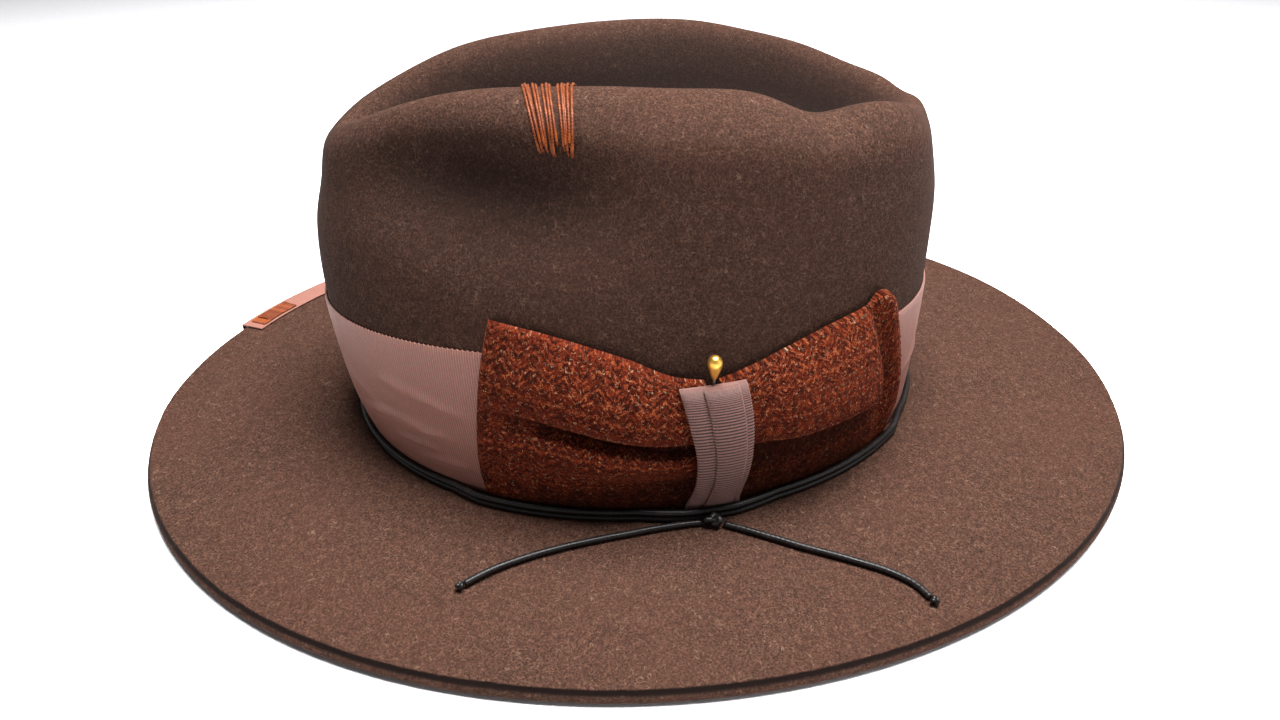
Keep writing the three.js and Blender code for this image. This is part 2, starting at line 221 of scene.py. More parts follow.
def crown_normal(angle, level):
    step = 0.01
    angle, level = np.broadcast_arrays(np.asarray(angle, float), np.asarray(level, float))
    around = crown_point(angle + step, level) - crown_point(angle - step, level)
    up = crown_point(angle, level + step) - crown_point(angle, np.maximum(level - step, 0))
    normal = unit(np.cross(around, up))
    return np.where((level > CREASE - step)[..., None], [0.0, 0.0, 1.0], normal)


def on_crown(angle, level, offset):
    return crown_point(angle, level) + crown_normal(angle, level) * np.asarray(offset)[..., None]


def level_at(height, angle):
    """The level at which the side wall reaches a height."""
    height, angle = np.broadcast_arrays(np.asarray(height, float), np.asarray(angle, float))
    low, high = np.zeros(height.shape), np.full(height.shape, 4.0)
    for _ in range(18):
        middle = (low + high) / 2
        below = crown_point(angle, middle)[..., 2] < height
        low, high = np.where(below, middle, low), np.where(below, high, middle)
    return low


def beside_wall(angle, height, offset):
    """A point at a height, straight out from the side wall."""
    angle, height, offset = np.broadcast_arrays(*(np.asarray(x, float) for x in (angle, height, offset)))
    level = level_at(height, angle)
    outward = crown_normal(angle, level)
    outward[..., 2] = 0
    point = crown_point(angle, level)
    point[..., 2] = height
    return point + unit(outward) * offset[..., None]


def brim_outward(angle):
    return unit(np.stack([np.cos(angle) / HEAD_SIDE, np.sin(angle) / HEAD_END, 0 * angle], -1))


def brim_edge(angle):
    oval = np.stack([HEAD_SIDE * np.cos(angle), HEAD_END * np.sin(angle), 0 * angle], -1)
    width = lerp(BRIM_WIDTH_ENDS, BRIM_WIDTH_SIDES, np.cos(angle) ** 2)
    width = width + BRIM_SKEW * np.sin(angle) * np.abs(np.cos(angle))
    return oval + brim_outward(angle) * width[..., None]


def brim_point(angle, share, above=BRIM_FELT):
    """Share 0 is the crown's foot and share 1 is the brim's edge."""
    angle, share, above = np.broadcast_arrays(*(np.asarray(x, float) for x in (angle, share, above)))
    curl = np.clip((share - FLAT_SHARE) / (1 - FLAT_SHARE), 0, 1) ** 2
    point = lerp(crown_point(angle, 0), brim_edge(angle), share[..., None])
    point[..., 2] = above + curl * lerp(EDGE_LIFT_ENDS, EDGE_LIFT_SIDES, np.cos(angle) ** 2)
    return point


def ripple(points, size, seed, waves=20):
    """Smooth noise of about -1 to 1 over points, with bumps about size apart."""
    random = np.random.default_rng(seed)
    total = np.zeros(points.shape[:-1])
    for direction, turn, stretch in zip(
            unit(random.normal(size=(waves, 3))), random.uniform(0, 2 * np.pi, waves),
            random.uniform(0.6, 1.4, waves)):
        total += np.sin(points @ direction * (2 * np.pi * stretch / size) + turn)
    return total / math.sqrt(waves)


# ---- Meshes -------------------------------------------------------------------------------------

def grid_faces(index, wrap=False, loop=False):
    """Four-sided faces between the rows and columns of a grid of point numbers."""
    if wrap:
        index = np.concatenate([index, index[:, :1]], 1)
    if loop:
        index = np.concatenate([index, index[:1]], 0)
    corners = index[:-1, :-1], index[:-1, 1:], index[1:, 1:], index[1:, :-1]
    return np.stack(corners, -1).reshape(-1, 4)


def add_piece(name, points, faces, look, cloth=None):
    """Makes a closed mesh, joining points that coincide and turning its faces outwards."""
    _, first, merged = np.unique(np.round(points, 4), axis=0, return_index=True, return_inverse=True)
    points = points[first]
    faces = merged.reshape(-1)[faces]
    corners = points[faces]
    halves = np.concatenate([corners[:, [0, 1, 2]], corners[:, [0, 2, 3]]])
    volume = np.einsum("ij,ij->i", halves[:, 0], np.cross(halves[:, 1], halves[:, 2])).sum()
    if volume < 0:
        faces = faces[:, ::-1]
    polygons = [list(dict.fromkeys(face)) for face in faces.tolist()]
    mesh = bpy.data.meshes.new(name)
    mesh.from_pydata((points * MM).tolist(), [], [face for face in polygons if len(face) > 2])
    mesh.polygons.foreach_set("use_smooth", [True] * len(mesh.polygons))
    mesh.set_sharp_from_angle(angle=math.radians(60))
    if cloth is not None:
        attribute = mesh.attributes.new("cloth", "FLOAT_VECTOR", "POINT")
        attribute.data.foreach_set("vector", cloth[first].astype(np.float32).ravel())
    mesh.materials.append(look)
    mesh.validate()
    piece = bpy.data.objects.new(name, mesh)
    bpy.context.scene.collection.objects.link(piece)
    return piece


def skin(name, rows, look, loop=False, cloth=None):
    """One closed skin through rows of points."""
    index = np.arange(rows.shape[0] * rows.shape[1]).reshape(rows.shape[:2])
    flat_cloth = None if cloth is None else cloth.reshape(-1, 3)
    return add_piece(name, rows.reshape(-1, 3), grid_faces(index, True, loop), look, flat_cloth)


def slab(name, face, back, look, cloth):
    """A sheet with thickness between two grids of points."""
    count = face.shape[0] * face.shape[1]
    front_index = np.arange(count).reshape(face.shape[:2])
    back_index = front_index + count
    faces = [grid_faces(front_index), grid_faces(back_index)[:, ::-1]]
    for edge, turned_over in ((0, -1), (-1, 1)):
        rim = np.stack([front_index[edge], back_index[edge]])
        faces.append(grid_faces(rim)[:, ::turned_over])
        rim = np.stack([front_index[:, edge], back_index[:, edge]])
        faces.append(grid_faces(rim)[:, ::-turned_over])
    points = np.concatenate([face.reshape(-1, 3), back.reshape(-1, 3)])
    return add_piece(name, points, np.concatenate(faces), look, np.concatenate([cloth.reshape(-1, 3)] * 2))


def layout(across, lengthwise, mask=0.0):
    """Where each point lies on the cloth, in millimetres, with a mask from 0 to 1."""
    return np.stack(np.broadcast_arrays(across, lengthwise, mask), -1)


def travelled(points):
    """Distance along a path at each of its points."""
    steps = np.linalg.norm(np.diff(points, axis=0), axis=1)
    return np.concatenate([[0], np.cumsum(steps)])


def rope(points, radius, sides, twist_pitch, relief, taper=True):
    """Rows round a path with a braided or twisted relief, and where each point lies on it."""
    run = travelled(points)
    heading = unit(np.gradient(points, axis=0))
    side = unit(np.cross(heading, [0.0, 0.0, 1.0]) + 1e-9)
    top = np.cross(side, heading)
    turn = full_turn(sides)
    swell = braid(turn[None], run[:, None], twist_pitch, relief)
    ends = np.minimum(run, run[-1] - run)[:, None] / radius
    cap = np.sqrt(np.clip(1 - (1 - np.clip(ends, 0, 1)) ** 2, 0, 1)) if taper else 1
    reach = radius * swell * cap
    ring = np.cos(turn)[None, :, None] * side[:, None] + np.sin(turn)[None, :, None] * top[:, None]
    rows = points[:, None] + ring * reach[..., None]
    return rows, layout(turn[None] * radius, run[:, None], (swell - 1 + relief) / (2 * relief))


def braid(turn, run, pitch, relief):
    """The radius of a braided cord, as a share of its mean, round it and along it."""
    phase = 2 * np.pi * run / pitch
    return 1 + relief * np.cos(3 * turn + phase) * np.cos(3 * turn - phase)


def spaced(points, step):
    """The same path with points at an even step, through a smooth curve."""
    fine = along(points, np.linspace(0, len(points) - 1, 40 * len(points)))
    run = travelled(fine)
    even = np.linspace(0, run[-1], max(int(run[-1] / step), 4))
    return np.stack([np.interp(even, run, fine[:, k]) for k in range(3)], 1)


# ---- Materials ----------------------------------------------------------------------------------

def shade(hex_colour):
    """An sRGB colour such as #6e5145 as linear red, green, blue and alpha."""
    parts = [int(hex_colour[k:k + 2], 16) / 255 for k in (1, 3, 5)]
    return [p / 12.92 if p < 0.04045 else ((p + 0.055) / 1.055) ** 2.4 for p in parts] + [1]


class Look:
    """A material and short ways to add its nodes."""

    def __init__(self, name, **sockets):
        self.material = bpy.data.materials.new(name)
        self.material.use_nodes = True
        self.tree = self.material.node_tree
        self.shader = self.tree.nodes["Principled BSDF"]
        for socket, value in sockets.items():
            self.shader.inputs[socket.replace("_", " ")].default_value = value

    def node(self, kind, inputs=(), **settings):
        made = self.tree.nodes.new(kind)
        for setting, value in settings.items():
            setattr(made, setting, value)
        for socket, value in dict(inputs).items():
            self.feed(made.inputs[socket], value)
        return made

    def feed(self, socket, value):
        if isinstance(value, bpy.types.NodeSocket):
            self.tree.links.new(value, socket)
        else:
            socket.default_value = value

    def place(self):
        return self.node("ShaderNodeTexCoord").outputs["Object"]

    def cloth(self):
        return self.node("ShaderNodeAttribute", attribute_name="cloth").outputs["Vector"]

    def split(self, vector):
        return self.node("ShaderNodeSeparateXYZ", {"Vector": vector}).outputs

    def stretched(self, vector, scale, turn=(0, 0, 0)):
        inputs = {"Vector": vector, "Scale": scale, "Rotation": [math.radians(a) for a in turn]}
        return self.node("ShaderNodeMapping", inputs).outputs["Vector"]

    def noise(self, vector, scale, detail=2.0, roughness=0.5, distortion=0.0):
        inputs = {"Vector": vector, "Scale": scale, "Detail": detail, "Roughness": roughness,
                  "Distortion": distortion}
        return self.node("ShaderNodeTexNoise", inputs).outputs["Fac"]

    def cell_edges(self, vector, scale):
        """Distance from the nearest border between irregular cells."""
        inputs = {"Vector": vector, "Scale": scale}
        return self.node("ShaderNodeTexVoronoi", inputs, feature="DISTANCE_TO_EDGE").outputs["Distance"]

    def ramp(self, value, *stops):
        made = self.node("ShaderNodeValToRGB", {"Fac": value})
        elements = made.color_ramp.elements
        for _ in stops[2:]:
            elements.new(0.5)
        for element, (position, colour) in zip(elements, stops):
            element.position = position
            element.color = shade(colour) if isinstance(colour, str) else (colour, colour, colour, 1)
        return made.outputs["Color"]

    def span(self, value, low, high, to_low=0.0, to_high=1.0):
        inputs = {"Value": value, "From Min": low, "From Max": high, "To Min": to_low, "To Max": to_high}
        return self.node("ShaderNodeMapRange", inputs, clamp=True).outputs["Result"]

    def maths(self, operation, a, b=0.0):
        return self.node("ShaderNodeMath", {0: a, 1: b}, operation=operation).outputs[0]

    def mix(self, share, a, b):
        made = self.node("ShaderNodeMix", data_type="RGBA")
        self.feed(made.inputs[0], share)
        self.feed(made.inputs[6], shade(a) if isinstance(a, str) else a)
        self.feed(made.inputs[7], shade(b) if isinstance(b, str) else b)
        return made.outputs[2]

    def bump(self, height, strength, distance):
        inputs = {"Height": height, "Strength": strength, "Distance": distance * MM}
        return self.node("ShaderNodeBump", inputs).outputs["Normal"]

    def finish(self, colour, roughness, normal):
        for socket, value in (("Base Color", colour), ("Roughness", roughness), ("Normal", normal)):
            self.feed(self.shader.inputs[socket], value)
        return self.material


def felt_look():
    look = Look("felt", Sheen_Weight=0.01, Sheen_Roughness=0.4, Sheen_Tint=shade("#e0b8a0"),
                Specular_IOR_Level=0.05)
    place = look.place()
    fibres = None
    for offset, scale in ((0.0, 330), (0.37, 420), (0.71, 520)):
        moved = look.node("ShaderNodeVectorMath", {0: place, 1: (offset, offset * 2, offset)}).outputs[0]
        swirl = look.noise(moved, scale, 1.0, 0.5, 0.8)
        line = look.span(look.maths("ABSOLUTE", look.maths("SUBTRACT", swirl, 0.5)), 0.003, 0.013, 1.0, 0.0)
        broken = look.span(look.noise(moved, scale * 0.8, 1.0), 0.5, 0.62)
        strand = look.maths("MULTIPLY", line, broken)
        fibres = strand if fibres is None else look.maths("MAXIMUM", fibres, strand)
    nap = look.noise(place, 1500, 3.0, 0.75, 0.4)
    clumps = look.noise(place, 420, 2.0, 0.6)
    clouds = look.noise(place, 22, 2.0)
    colour = look.ramp(nap, (0.3, "#150d0a"), (0.5, "#38251e"), (0.7, "#573d31"))
    colour = look.mix(look.span(clumps, 0.38, 0.7, 0.0, 0.45), colour, "#1f1711")
    colour = look.mix(look.span(clouds, 0.35, 0.65, 0.0, 0.25), colour, "#3f2820")
    colour = look.mix(look.maths("MULTIPLY", fibres, 0.38), colour, "#745c4c")
    # The cloth attribute carries painted shade for the crown's walls, crease and pinch, mixed towards
    # #0d0807, and the cut edge's darkening.
    painted_shade, _, cut_edge_and_shade = look.split(look.cloth())
    colour = look.mix(painted_shade, colour, "#0d0807")
    # The cut edge is darkened partly for its cut fibres and partly as painted shade on its upper band.
    colour = look.mix(cut_edge_and_shade, colour, "#150e0c")
    height = look.maths("ADD", nap, look.maths("MULTIPLY", fibres, 0.4))
    normal = look.bump(height, 0.5, 0.3)
    return look.finish(colour, look.span(nap, 0.3, 0.7, 0.98, 0.88), normal)


def grosgrain_look(name, light, dark, valley_shade, valley_shade_share):
    """Ribbed ribbon: light and dark threads, and the colour and strength of the painted shade in the valleys
    between ribs.
    """
    look = Look(name, Sheen_Weight=0.02, Sheen_Roughness=0.4, Sheen_Tint=shade("#f0d4cc"),
                Specular_IOR_Level=0.3)
    cloth = look.cloth()
    crest = look.split(cloth)[2]
    threads = look.noise(look.stretched(cloth, (0.9, 4.2, 1)), 1.0, 2.0, 0.6)
    slubs = look.noise(look.stretched(cloth, (1.1, 0.12, 0.2)), 1.0, 2.0, 0.5)
    colour = look.mix(look.span(threads, 0.3, 0.7), dark, light)
    colour = look.mix(look.span(slubs, 0.3, 0.7, 0.0, 0.35), colour, dark)
    # Painted shade in the valleys between the ribs.
    colour = look.mix(look.span(crest, 0.05, 0.9, valley_shade_share, 0.0), colour, valley_shade)
    normal = look.bump(threads, 0.3, 0.12)
    return look.finish(colour, look.span(slubs, 0.3, 0.7, 0.62, 0.5), normal)


def tweed_look():
    look = Look("tweed", Sheen_Weight=0.05, Sheen_Roughness=0.5, Sheen_Tint=shade("#ff8450"),
                Specular_IOR_Level=0.05)
    cloth = look.cloth()
    fuzz = look.node("ShaderNodeTexNoise", {"Vector": cloth, "Scale": 0.9, "Detail": 4.0, "Roughness": 0.65})
    stray = {0: fuzz.outputs["Color"], 1: (3.2, 3.2, 0)}
    wander = look.node("ShaderNodeVectorMath", stray, operation="MULTIPLY")
    loose = look.node("ShaderNodeVectorMath", {0: cloth, 1: wander.outputs[0]}).outputs[0]
    x, y, _ = look.split(loose)
    chevron = look.maths("PINGPONG", x, 5.2)
    twill = look.maths("ADD", y, chevron)
    stripe = look.maths("SINE", look.maths("MULTIPLY", twill, 2 * math.pi / 2.6))
    yarn = look.node("ShaderNodeCombineXYZ", {"X": look.maths("SUBTRACT", y, chevron), "Y": twill}).outputs[0]
    strokes = look.noise(look.stretched(yarn, (0.75, 1.5, 1)), 1.0, 3.0, 0.65)
    blots = look.noise(look.stretched(yarn, (0.2, 0.42, 1)), 1.0, 3.0, 0.7)
    tone = look.maths("ADD", look.span(strokes, 0.3, 0.7, 0.0, 0.5), look.span(blots, 0.3, 0.7, 0.0, 0.42))
    tone = look.maths("ADD", tone, look.span(stripe, -1, 1, 0.0, 0.12))
    colour = look.ramp(tone, (0.24, "#110502"), (0.48, "#320f08"), (0.68, "#622210"), (0.9, "#9c5c36"))
    swirl = look.noise(look.stretched(cloth, (0.9, 0.5, 1), (0, 0, 30)), 1.0, 1.0, 0.5, 0.6)
    hairs = look.span(look.maths("ABSOLUTE", look.maths("SUBTRACT", swirl, 0.5)), 0.004, 0.016, 1.0, 0.0)
    broken = look.span(look.noise(cloth, 0.7, 1.0), 0.5, 0.62, 0.0, 0.6)
    colour = look.mix(look.maths("MULTIPLY", hairs, broken), colour, "#c29a78")
    # Painted shade in the bow's folds, from the cloth attribute's mask.
    colour = look.mix(look.split(cloth)[2], colour, "#0c0402")
    grit = look.noise(cloth, 3.2, 2.0, 0.7)
    height = look.maths("ADD", strokes, look.maths("MULTIPLY", grit, 0.6))
    return look.finish(colour, 0.95, look.bump(height, 0.8, 0.5))


def waxed_cord_look():
    look = Look("waxed_cord", Specular_IOR_Level=0.28)
    cloth = look.cloth()
    crest = look.split(cloth)[2]
    wax = look.noise(look.place(), 260, 3.0, 0.6)
    # The grooves of the braid are painted darker as shade; crest is the braid's relief.
    colour = look.mix(look.span(crest, 0.3, 1.0, 0.0, 0.8), "#060404", "#17100e")
    colour = look.mix(look.span(wax, 0.5, 0.75, 0.0, 0.35), colour, "#2a1f1c")
    strands = look.noise(look.stretched(cloth, (3, 6, 1), (0, 0, 30)), 1.0, 1.0)
    return look.finish(colour, look.span(wax, 0.3, 0.7, 0.36, 0.52), look.bump(strands, 0.35, 0.1))


def metal_look(name, bright, dull, low, high):
    look = Look(name, Metallic=1.0)
    place = look.place()
    tarnish = look.noise(place, 420, 3.0)
    scratches = look.noise(look.stretched(place, (1, 1, 0.05), (35, 20, 0)), 6000, 1.0)
    colour = look.mix(look.span(tarnish, 0.35, 0.75, 0.0, 0.7), bright, dull)
    roughness = look.span(tarnish, 0.3, 0.7, low, high)
    return look.finish(colour, roughness, look.bump(scratches, 0.06, 0.02))


def thread_look():
    look = Look("thread", Sheen_Weight=0.08, Sheen_Roughness=0.35, Sheen_Tint=shade("#ffb070"),
                Specular_IOR_Level=0.2)
    cloth = look.cloth()
    crest = look.split(cloth)[2]
    lustre = look.noise(look.stretched(cloth, (0.6, 0.35, 1)), 1.0, 2.0)
    # The grooves between the twisted strands are painted near black as shade; crest is the strands' relief.
    colour = look.mix(look.span(crest, 0.1, 0.9, 0.0, 1.0), "#1c0802", "#73300b")
    # The lighter patches are painted sheen.
    colour = look.mix(look.span(lustre, 0.45, 0.7, 0.0, 0.5), colour, "#984c1c")
    fibres = look.noise(look.stretched(cloth, (9, 2.5, 1), (0, 0, 25)), 1.0, 2.0)
    return look.finish(colour, look.span(lustre, 0.3, 0.7, 0.6, 0.42), look.bump(fibres, 0.4, 0.08))


def leather_look():
    look = Look("leather", Specular_IOR_Level=0.45)
    place = look.place()
    grain = look.cell_edges(place, 900)
    pores = look.noise(place, 2200, 2.0)
    wear = look.noise(place, 45, 3.0, 0.6)
    colour = look.mix(look.span(wear, 0.35, 0.7), "#4a2c1b", "#7c5233")
    colour = look.mix(look.span(grain, 0.0, 0.12, 0.45, 0.0), colour, "#2b1810")
    height = look.maths("ADD", look.span(grain, 0.0, 0.2), look.maths("MULTIPLY", pores, 0.3))
    return look.finish(colour, look.span(wear, 0.3, 0.7, 0.62, 0.42), look.bump(height, 0.45, 0.2))


def satin_look():
    look = Look("satin", Sheen_Weight=0.3, Sheen_Roughness=0.3, Sheen_Tint=shade("#e8cfc0"),
                Specular_IOR_Level=0.6)
    place = look.place()
    weave = look.noise(look.stretched(place, (1, 1, 0.12), (0, 25, 0)), 2600, 1.0)
    creases = look.noise(place, 40, 3.0, 0.5, 0.8)
    # Painted shade and light: the lining is darker in the troughs of its creases and lighter on their tops.
    colour = look.mix(look.span(creases, 0.35, 0.7), "#3a2c29", "#5d4a44")
    height = look.maths("ADD", look.maths("MULTIPLY", weave, 0.2), creases)
    return look.finish(colour, look.span(weave, 0.3, 0.7, 0.3, 0.42), look.bump(height, 0.4, 0.6))


def reed_look():
    look = Look("reed", Specular_IOR_Level=0.5)
    streaks = look.noise(look.stretched(look.place(), (0.2, 0.2, 1)), 1500, 2.0)
    colour = look.mix(look.span(streaks, 0.3, 0.7), "#cbbf9f", "#e8e0cb")
    return look.finish(colour, look.span(streaks, 0.3, 0.7, 0.35, 0.5), look.bump(streaks, 0.2, 0.1))


def floor_look():
    look = Look("pale_floor", Specular_IOR_Level=0.2)
    paper = look.noise(look.place(), 160, 3.0)
    colour = look.mix(look.span(paper, 0.3, 0.7), "#e9e8ea", "#efeef0")
    return look.finish(colour, look.span(paper, 0.3, 0.7, 0.7, 0.8), look.bump(paper, 0.03, 0.2))


def declare(piece, node, body="hat"):
    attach(piece, body)
    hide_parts(node)
    return piece


# ---- Felt ---------------------------------------------------------------------------------------

FELT_COLUMNS = 448
WALL_WAVER, CROWN_WAVER = 0.08, 0.45     # how far the felt strays from the drawn shape

# Section of the raw brim edge: inset, height, and how dark the cut felt is painted: partly the cut fibres'
# own darker tone and partly painted shade on the upper band of the edge face.
BRIM_SECTION = [
    (2.4, 4.2, 0.0), (1.7, 4.18, 0.0), (1.4, 4.1, 0.2), (1.25, 3.9, 0.8), (1.15, 3.6, 1.0), (1.0, 3.2, 1.0),
    (0.8, 2.8, 1.0), (0.55, 2.45, 0.8), (0.25, 2.2, 0.4), (0.05, 1.85, 0.0), (-0.1, 1.3, 0.0),
    (-0.1, 0.8, 0.0), (0.05, 0.3, 0.0), (0.6, 0.0, 0.0), (2.0, 0.0, 0.0),
]

# Painted shade on the outer felt up the crown: level, and share. It darkens the side walls a little and the
# inside of the crease strongly, where shade falls.
PAINTED_CROWN_SHADE = [
    (0, 0), (0.3, 0.28), (4, 0.28), (5, 0.16), (6, 0.0), (6.5, 0.3), (7.0, 0.7), (7.8, 0.9), (CREASE, 0.92),
]
PINCH_SHADE = 0.5                 # how much painted shade darkens the felt in the pinch below the ridge


def felt_piece(look):
    angle = full_turn(FELT_COLUMNS)
    outer_levels = np.concatenate([np.linspace(CREASE, 4, 110), np.linspace(3.93, 0, 46)])
    outside = on_crown(angle[None], outer_levels[:, None], np.zeros((len(outer_levels), 1)))
    waver = lerp(WALL_WAVER, CROWN_WAVER, smoothstep(2.6, 4, outer_levels))[:, None]
    waver = waver * smoothstep(0, 0.4, outer_levels)[:, None]
    waver = waver * smoothstep(CREASE, CREASE - 1, outer_levels)[:, None]
    away = crown_normal(angle[None], outer_levels[:, None])
    outside = outside + away * (waver * ripple(outside, 38, 3))[..., None]

    shares = np.linspace(0.01, 0.965, 60)[:, None]
    brim_top = brim_point(angle[None], shares)
    sway = 0.14 * ripple(brim_top, 70, 5) * smoothstep(0.25, 0.6, shares)
    brim_top[..., 2] += sway

    edge_foot = brim_point(angle, 1.0, 0)
    section = along(BRIM_SECTION, np.linspace(0, len(BRIM_SECTION) - 1, 40))
    edge = edge_foot[None] - brim_outward(angle)[None] * section[:, 0][:, None, None]
    edge[..., 2] += section[:, 1][:, None] + sway[-1]
    fray = 0.09 * ripple(edge, 3.5, 8) * smoothstep(0.02, 0.5, section[:, 2])[:, None]
    edge = edge + brim_outward(angle)[None] * fray[..., None]

    brim_under = brim_point(angle[None], np.linspace(0.96, 0.02, 24)[:, None], 0)
    inside_levels = np.concatenate([np.linspace(0.6, 4, 24), np.linspace(4.1, CREASE, 50)])[:, None]
    inside = on_crown(angle[None], inside_levels, np.full_like(inside_levels, -CROWN_FELT))
    inside_foot = on_crown(angle[None], np.zeros((1, 1)), np.full((1, 1), -CROWN_FELT))
    inside_foot[..., 2] = 0
    rows = np.concatenate([outside, brim_top, edge, brim_under, inside_foot, inside])
    # mask: how dark the cut edge is painted, partly its own tone and partly painted shade.
    mask = np.zeros(rows.shape[:2])
    first = len(outside) + len(brim_top)
    mask[first:first + len(edge)] = section[:, 2][:, None]
    # Painted shade: darker on the walls and in the crease, and more in the pinch below the ridge.
    painted_shade = np.zeros(rows.shape[:2])
    painted_shade[:len(outside)] = np.interp(outer_levels, *zip(*PAINTED_CROWN_SHADE))[:, None]
    below_ridge = (outer_levels < RIDGE - 0.4)[:, None]
    painted_shade[:len(outside)] += PINCH_SHADE * pinched(outside[..., 1], outside[..., 2] + 2) * below_ridge
    return skin("felt", rows, look, cloth=layout(painted_shade, 0.0, mask))


# ---- Hatband ------------------------------------------------------------------------------------

RIB = 0.84                        # from rib to rib
RIB_RELIEF = 0.11
PICOT = 0.4                       # how far the tiny loops stand up from the band's edge
PUCKER, HIGHEST_PUCKER = 1.7, 1.4    # how strongly the wrinkles below are drawn, and their limit

# Wrinkles of the band ahead of the bow: degrees and height at both ends, width and depth.
WRINKLES = [
    (-57, 41.5, -36, 37.5, 2.6, 0.5), (-68, 24, -41, 28.5, 1.9, 0.75), (-57, 22, -40, 28, 1.4, 0.45),
    (-56, 19.5, -43, 22, 1.5, 0.7), (-61, 27.5, -45, 30, 1.3, 0.4), (-75, 33, -58, 30, 3.0, 0.35),
    (-50, 15, -37, 17, 2.0, 0.5), (52, 26, 66, 30, 2.2, 0.4), (150, 20, 176, 23, 2.4, 0.4),
]


def band_edges(angle):
    c = np.cos(angle)
    lift = 7 * c * c - 3.5 * np.sin(angle) * np.abs(c)
    degrees = np.degrees(np.arctan2(np.sin(angle), c))
    tuck = WAIST_TUCK * np.exp(-(((degrees - 3) / 13) ** 2))
    return BRIM_FELT + 0.6 + 0.35 * lift, BRIM_FELT + 0.6 + BAND_HEIGHT + lift - tuck


def wrinkles(angle, height):
    degrees = np.degrees(np.arctan2(np.sin(angle), np.cos(angle)))
    total = np.zeros(np.broadcast(degrees, height).shape)
    for start, start_height, end, end_height, width, depth in WRINKLES:
        share = (degrees - start) / (end - start)
        line = lerp(start_height, end_height, share) + 0.8 * np.sin(share * 4)
        fade = smoothstep(-0.1, 0.3, share) * smoothstep(1.1, 0.7, share)
        distance = (height - line) / width
        total += depth * fade * (np.exp(-(distance**2)) - 0.55 * np.exp(-((distance + 1.3) ** 2)))
    return total


def even_angles(count):
    """Angles an even distance apart along the foot of the wall."""
    fine = np.linspace(0, 2 * np.pi, 4001)
    run = travelled(crown_point(fine, 1.0))
    return np.interp(np.linspace(0, run[-1], count, endpoint=False), run, fine), run[-1]


def hatband_piece(look):
    ribs = int(even_angles(4)[1] / RIB / 2) * 2
    angle, girth = even_angles(4 * ribs)
    crest = np.tile([1.0, 0.5, 0.0, 0.5], ribs)
    share = np.linspace(0, 1, 46)[:, None]
    bottom, top = band_edges(angle)
    height = lerp(bottom, top, share)
    loops = np.maximum(0, np.sin(np.arange(4 * ribs) * np.pi / 4)) * PICOT
    height[-1] += loops
    fade = smoothstep(0, 0.03, share) * smoothstep(1.005, 0.975, share)
    pucker = np.clip(PUCKER * wrinkles(angle[None], height), 0.02, HIGHEST_PUCKER) * fade
    offset = BAND_FACE + (crest * RIB_RELIEF)[None] * np.ones_like(share) + pucker
    offset[-1] -= 0.22
    offset[0] -= 0.15
    face = on_crown(angle[None], level_at(height, angle[None]), offset)
    back = on_crown(angle[None], level_at(height[[-1, 23, 0]], angle[None]), np.full((3, 1), GAP))
    run = np.linspace(0, girth, 4 * ribs, endpoint=False)
    cloth = layout(run[None], np.concatenate([height, height[[-1, 23, 0]]]), crest[None])
    return skin("hatband", np.concatenate([face, back]), look, loop=True, cloth=cloth), girth


# ---- Bow ----------------------------------------------------------------------------------------

BOW_FOOT = BRIM_FELT + 1.2
BOW_BACK = TWEED_START + 0.05
END_ROUND = 0.035                 # share of the wing's length over which its folded end rounds off

# Each wing is drawn by sections from its outer end to its waist. A section runs up the wing as
# pairs: share of the height, and how far the cloth stands off the wall. The main fold runs from the
# knot outwards: the upper lobe hangs over it, and the lower lobe swells below it.
FRONT_WING = {
    "foot": -35.8, "top": -29.8, "lean": 1.6, "waist": 2,
    "reaches": (0, 0.24, 0.45, 0.66, 0.84, 1),
    "tops": (72.8, 70.4, 67.0, 62.4, 56.8, 54.5),
    "sections": [
        [(0, 2.4), (0.08, 2.6), (0.17, 3.2), (0.27, 3.5), (0.36, 3.6), (0.45, 3.5), (0.53, 3.4), (0.58, 3.4),
         (0.64, 3.5), (0.76, 3.6), (0.9, 3.5), (0.98, 3.1), (1, 2.3)],
        [(0, 2.4), (0.08, 2.7), (0.17, 3.8), (0.28, 5.0), (0.4, 6.0), (0.49, 5.6), (0.54, 3.4), (0.575, 3.2),
         (0.62, 5.8), (0.76, 6.6), (0.9, 5.2), (0.98, 3.8), (1, 2.5)],
        [(0, 2.4), (0.09, 2.7), (0.16, 3.4), (0.27, 4.6), (0.4, 8.0), (0.49, 7.6), (0.53, 1.9), (0.575, 2.2),
         (0.60, 7.6), (0.76, 8.6), (0.9, 6.8), (0.98, 4.6), (1, 2.7)],
        [(0, 2.4), (0.10, 2.7), (0.17, 2.9), (0.27, 4.0), (0.39, 8.4), (0.475, 8.0), (0.50, 1.7),
         (0.565, 1.9), (0.58, 8.2), (0.74, 9.6), (0.9, 7.6), (0.98, 5.0), (1, 2.9)],
        [(0, 2.3), (0.10, 2.5), (0.18, 2.8), (0.27, 3.0), (0.39, 6.2), (0.455, 5.8), (0.49, 1.6),
         (0.575, 1.8), (0.59, 6.6), (0.77, 7.5), (0.92, 5.8), (0.98, 4.4), (1, 2.9)],
        [(0, 2.3), (0.10, 2.5), (0.18, 2.8), (0.27, 2.6), (0.39, 4.8), (0.47, 4.4), (0.52, 1.6), (0.58, 1.8),
         (0.61, 5.8), (0.78, 6.2), (0.92, 5.4), (0.98, 4.2), (1, 2.9)],
    ],
}
